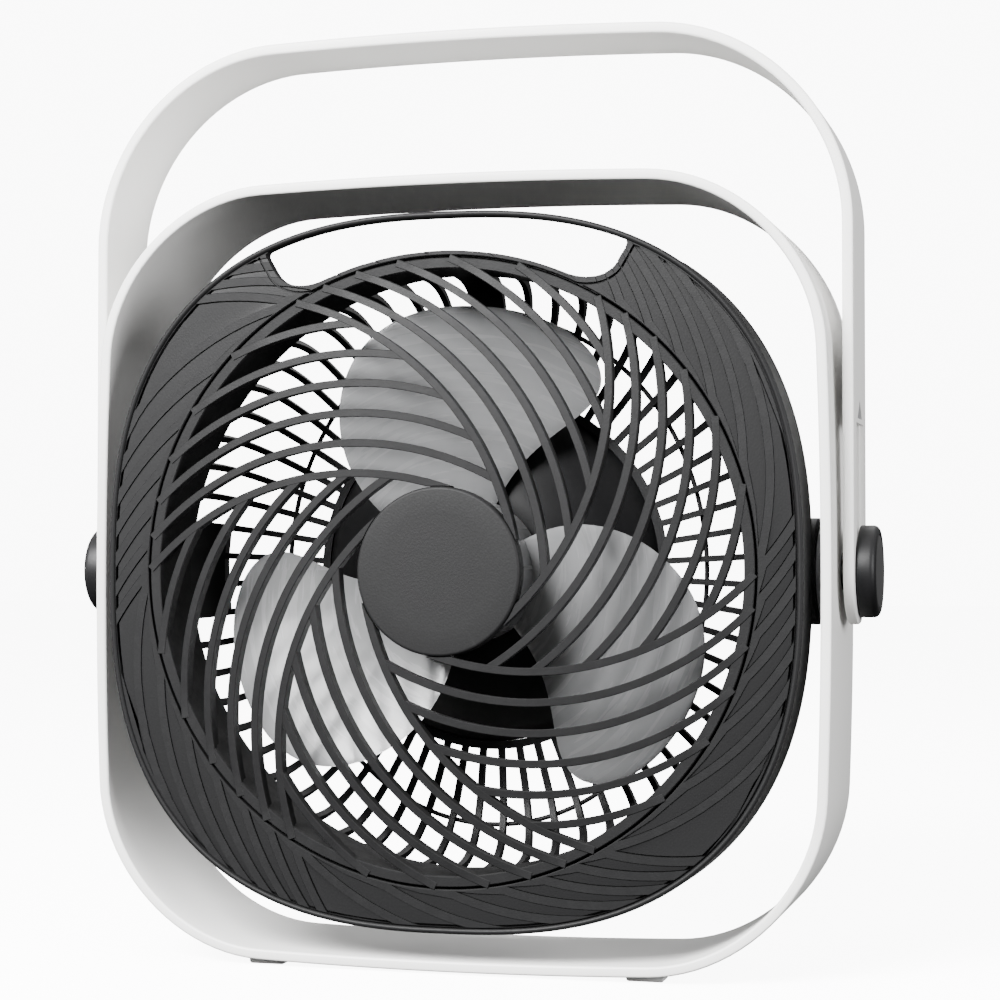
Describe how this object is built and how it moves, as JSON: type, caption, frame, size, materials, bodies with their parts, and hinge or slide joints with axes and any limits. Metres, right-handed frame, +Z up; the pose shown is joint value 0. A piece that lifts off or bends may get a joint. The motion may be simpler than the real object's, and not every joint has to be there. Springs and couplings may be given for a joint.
{
  "type": "air circulator fan",
  "caption": "Small air circulator: a tilting squared-round head with swirled grille and grip, held in a rounded hoop stand with a raising carry handle.",
  "frame": {"origin": "centre of the overall box in X and Y, on the plane the feet stand on", "axes": "+Z up, the air leaves towards -Y, +X to the right as seen from the front"},
  "size_m": [0.295, 0.0904, 0.3359],
  "materials": {
    "white_plastic": "satin white moulding",
    "foot_rubber": "soft pale rubber",
    "black_plastic": "satin black moulding",
    "knob_face": "fine matt grey disc",
    "dark_plastic": "fine-grained charcoal moulding",
    "cap_plastic": "spark-grained charcoal moulding",
    "blade_plastic": "milky translucent grey",
    "washer_plastic": "self-lubricating grey plastic",
    "steel": "plated steel",
    "copper": "enamelled winding on laminations",
    "magnet": "sintered magnet",
    "board": "circuit board"
  },
  "bodies": {
    "stand": {"hoop_stand": "white_plastic", "foot_front_left": "foot_rubber", "foot_front_right": "foot_rubber", "foot_rear_left": "foot_rubber", "foot_rear_right": "foot_rubber", "pivot_bush_left": "black_plastic", "pivot_bush_right": "black_plastic", "guide_block_left": "black_plastic", "guide_block_right": "black_plastic"},
    "handle": {"carry_handle": "white_plastic"},
    "head": {"front_bezel": "dark_plastic", "front_grille": "dark_plastic", "hub_cap": "cap_plastic", "rear_housing": "dark_plastic", "rear_grille": "black_plastic", "rear_ring": "black_plastic", "rear_cover": "dark_plastic", "motor_housing": "black_plastic", "motor_end_plate": "black_plastic", "motor_stator": "copper", "bearing_front": "steel", "bearing_rear": "steel", "control_board": "board", "cord_inlet": "black_plastic", "friction_washer_left": "washer_plastic", "friction_washer_right": "washer_plastic", "pivot_bolt_left": "steel", "pivot_bolt_right": "steel", "housing_screw_1": "steel", "housing_screw_2": "steel", "housing_screw_3": "steel", "housing_screw_4": "steel", "cover_screw_1": "steel", "cover_screw_2": "steel", "cover_screw_3": "steel"},
    "rotor": {"fan_wheel": "blade_plastic", "blade_nut": "steel", "motor_shaft": "steel", "rotor_magnet": "magnet"},
    "clamp_knob_left": {"knob_left": "black_plastic", "knob_face_left": "knob_face"},
    "clamp_knob_right": {"knob_right": "black_plastic", "knob_face_right": "knob_face"},
    "dial": {"speed_dial": "black_plastic"}
  },
  "joints": [
    {"name": "head_tilt", "type": "hinge", "parent": "stand", "child": "head", "pos_m": [0, 0, 0.1414], "axis": [1, 0, 0], "range_deg": [-90, 45]},
    {"name": "handle_slide", "type": "slide", "parent": "stand", "child": "handle", "axis": [0, 0, 1], "range_m": [-0.0455, 0]},
    {"name": "rotor_spin", "type": "hinge", "parent": "head", "child": "rotor", "pos_m": [0, 0, 0.1414], "axis": [0, 1, 0], "continuous": true},
    {"name": "knob_turn_left", "type": "hinge", "parent": "stand", "child": "clamp_knob_left", "pos_m": [-0.144, 0, 0.1414], "axis": [-1, 0, 0], "range_deg": [0, 180]},
    {"name": "knob_turn_right", "type": "hinge", "parent": "stand", "child": "clamp_knob_right", "pos_m": [0.144, 0, 0.1414], "axis": [1, 0, 0], "range_deg": [0, 180]},
    {"name": "dial_turn", "type": "hinge", "parent": "head", "child": "dial", "pos_m": [0, 0.042, 0.1414], "axis": [0, -1, 0], "range_deg": [0, 135]}
  ]
}
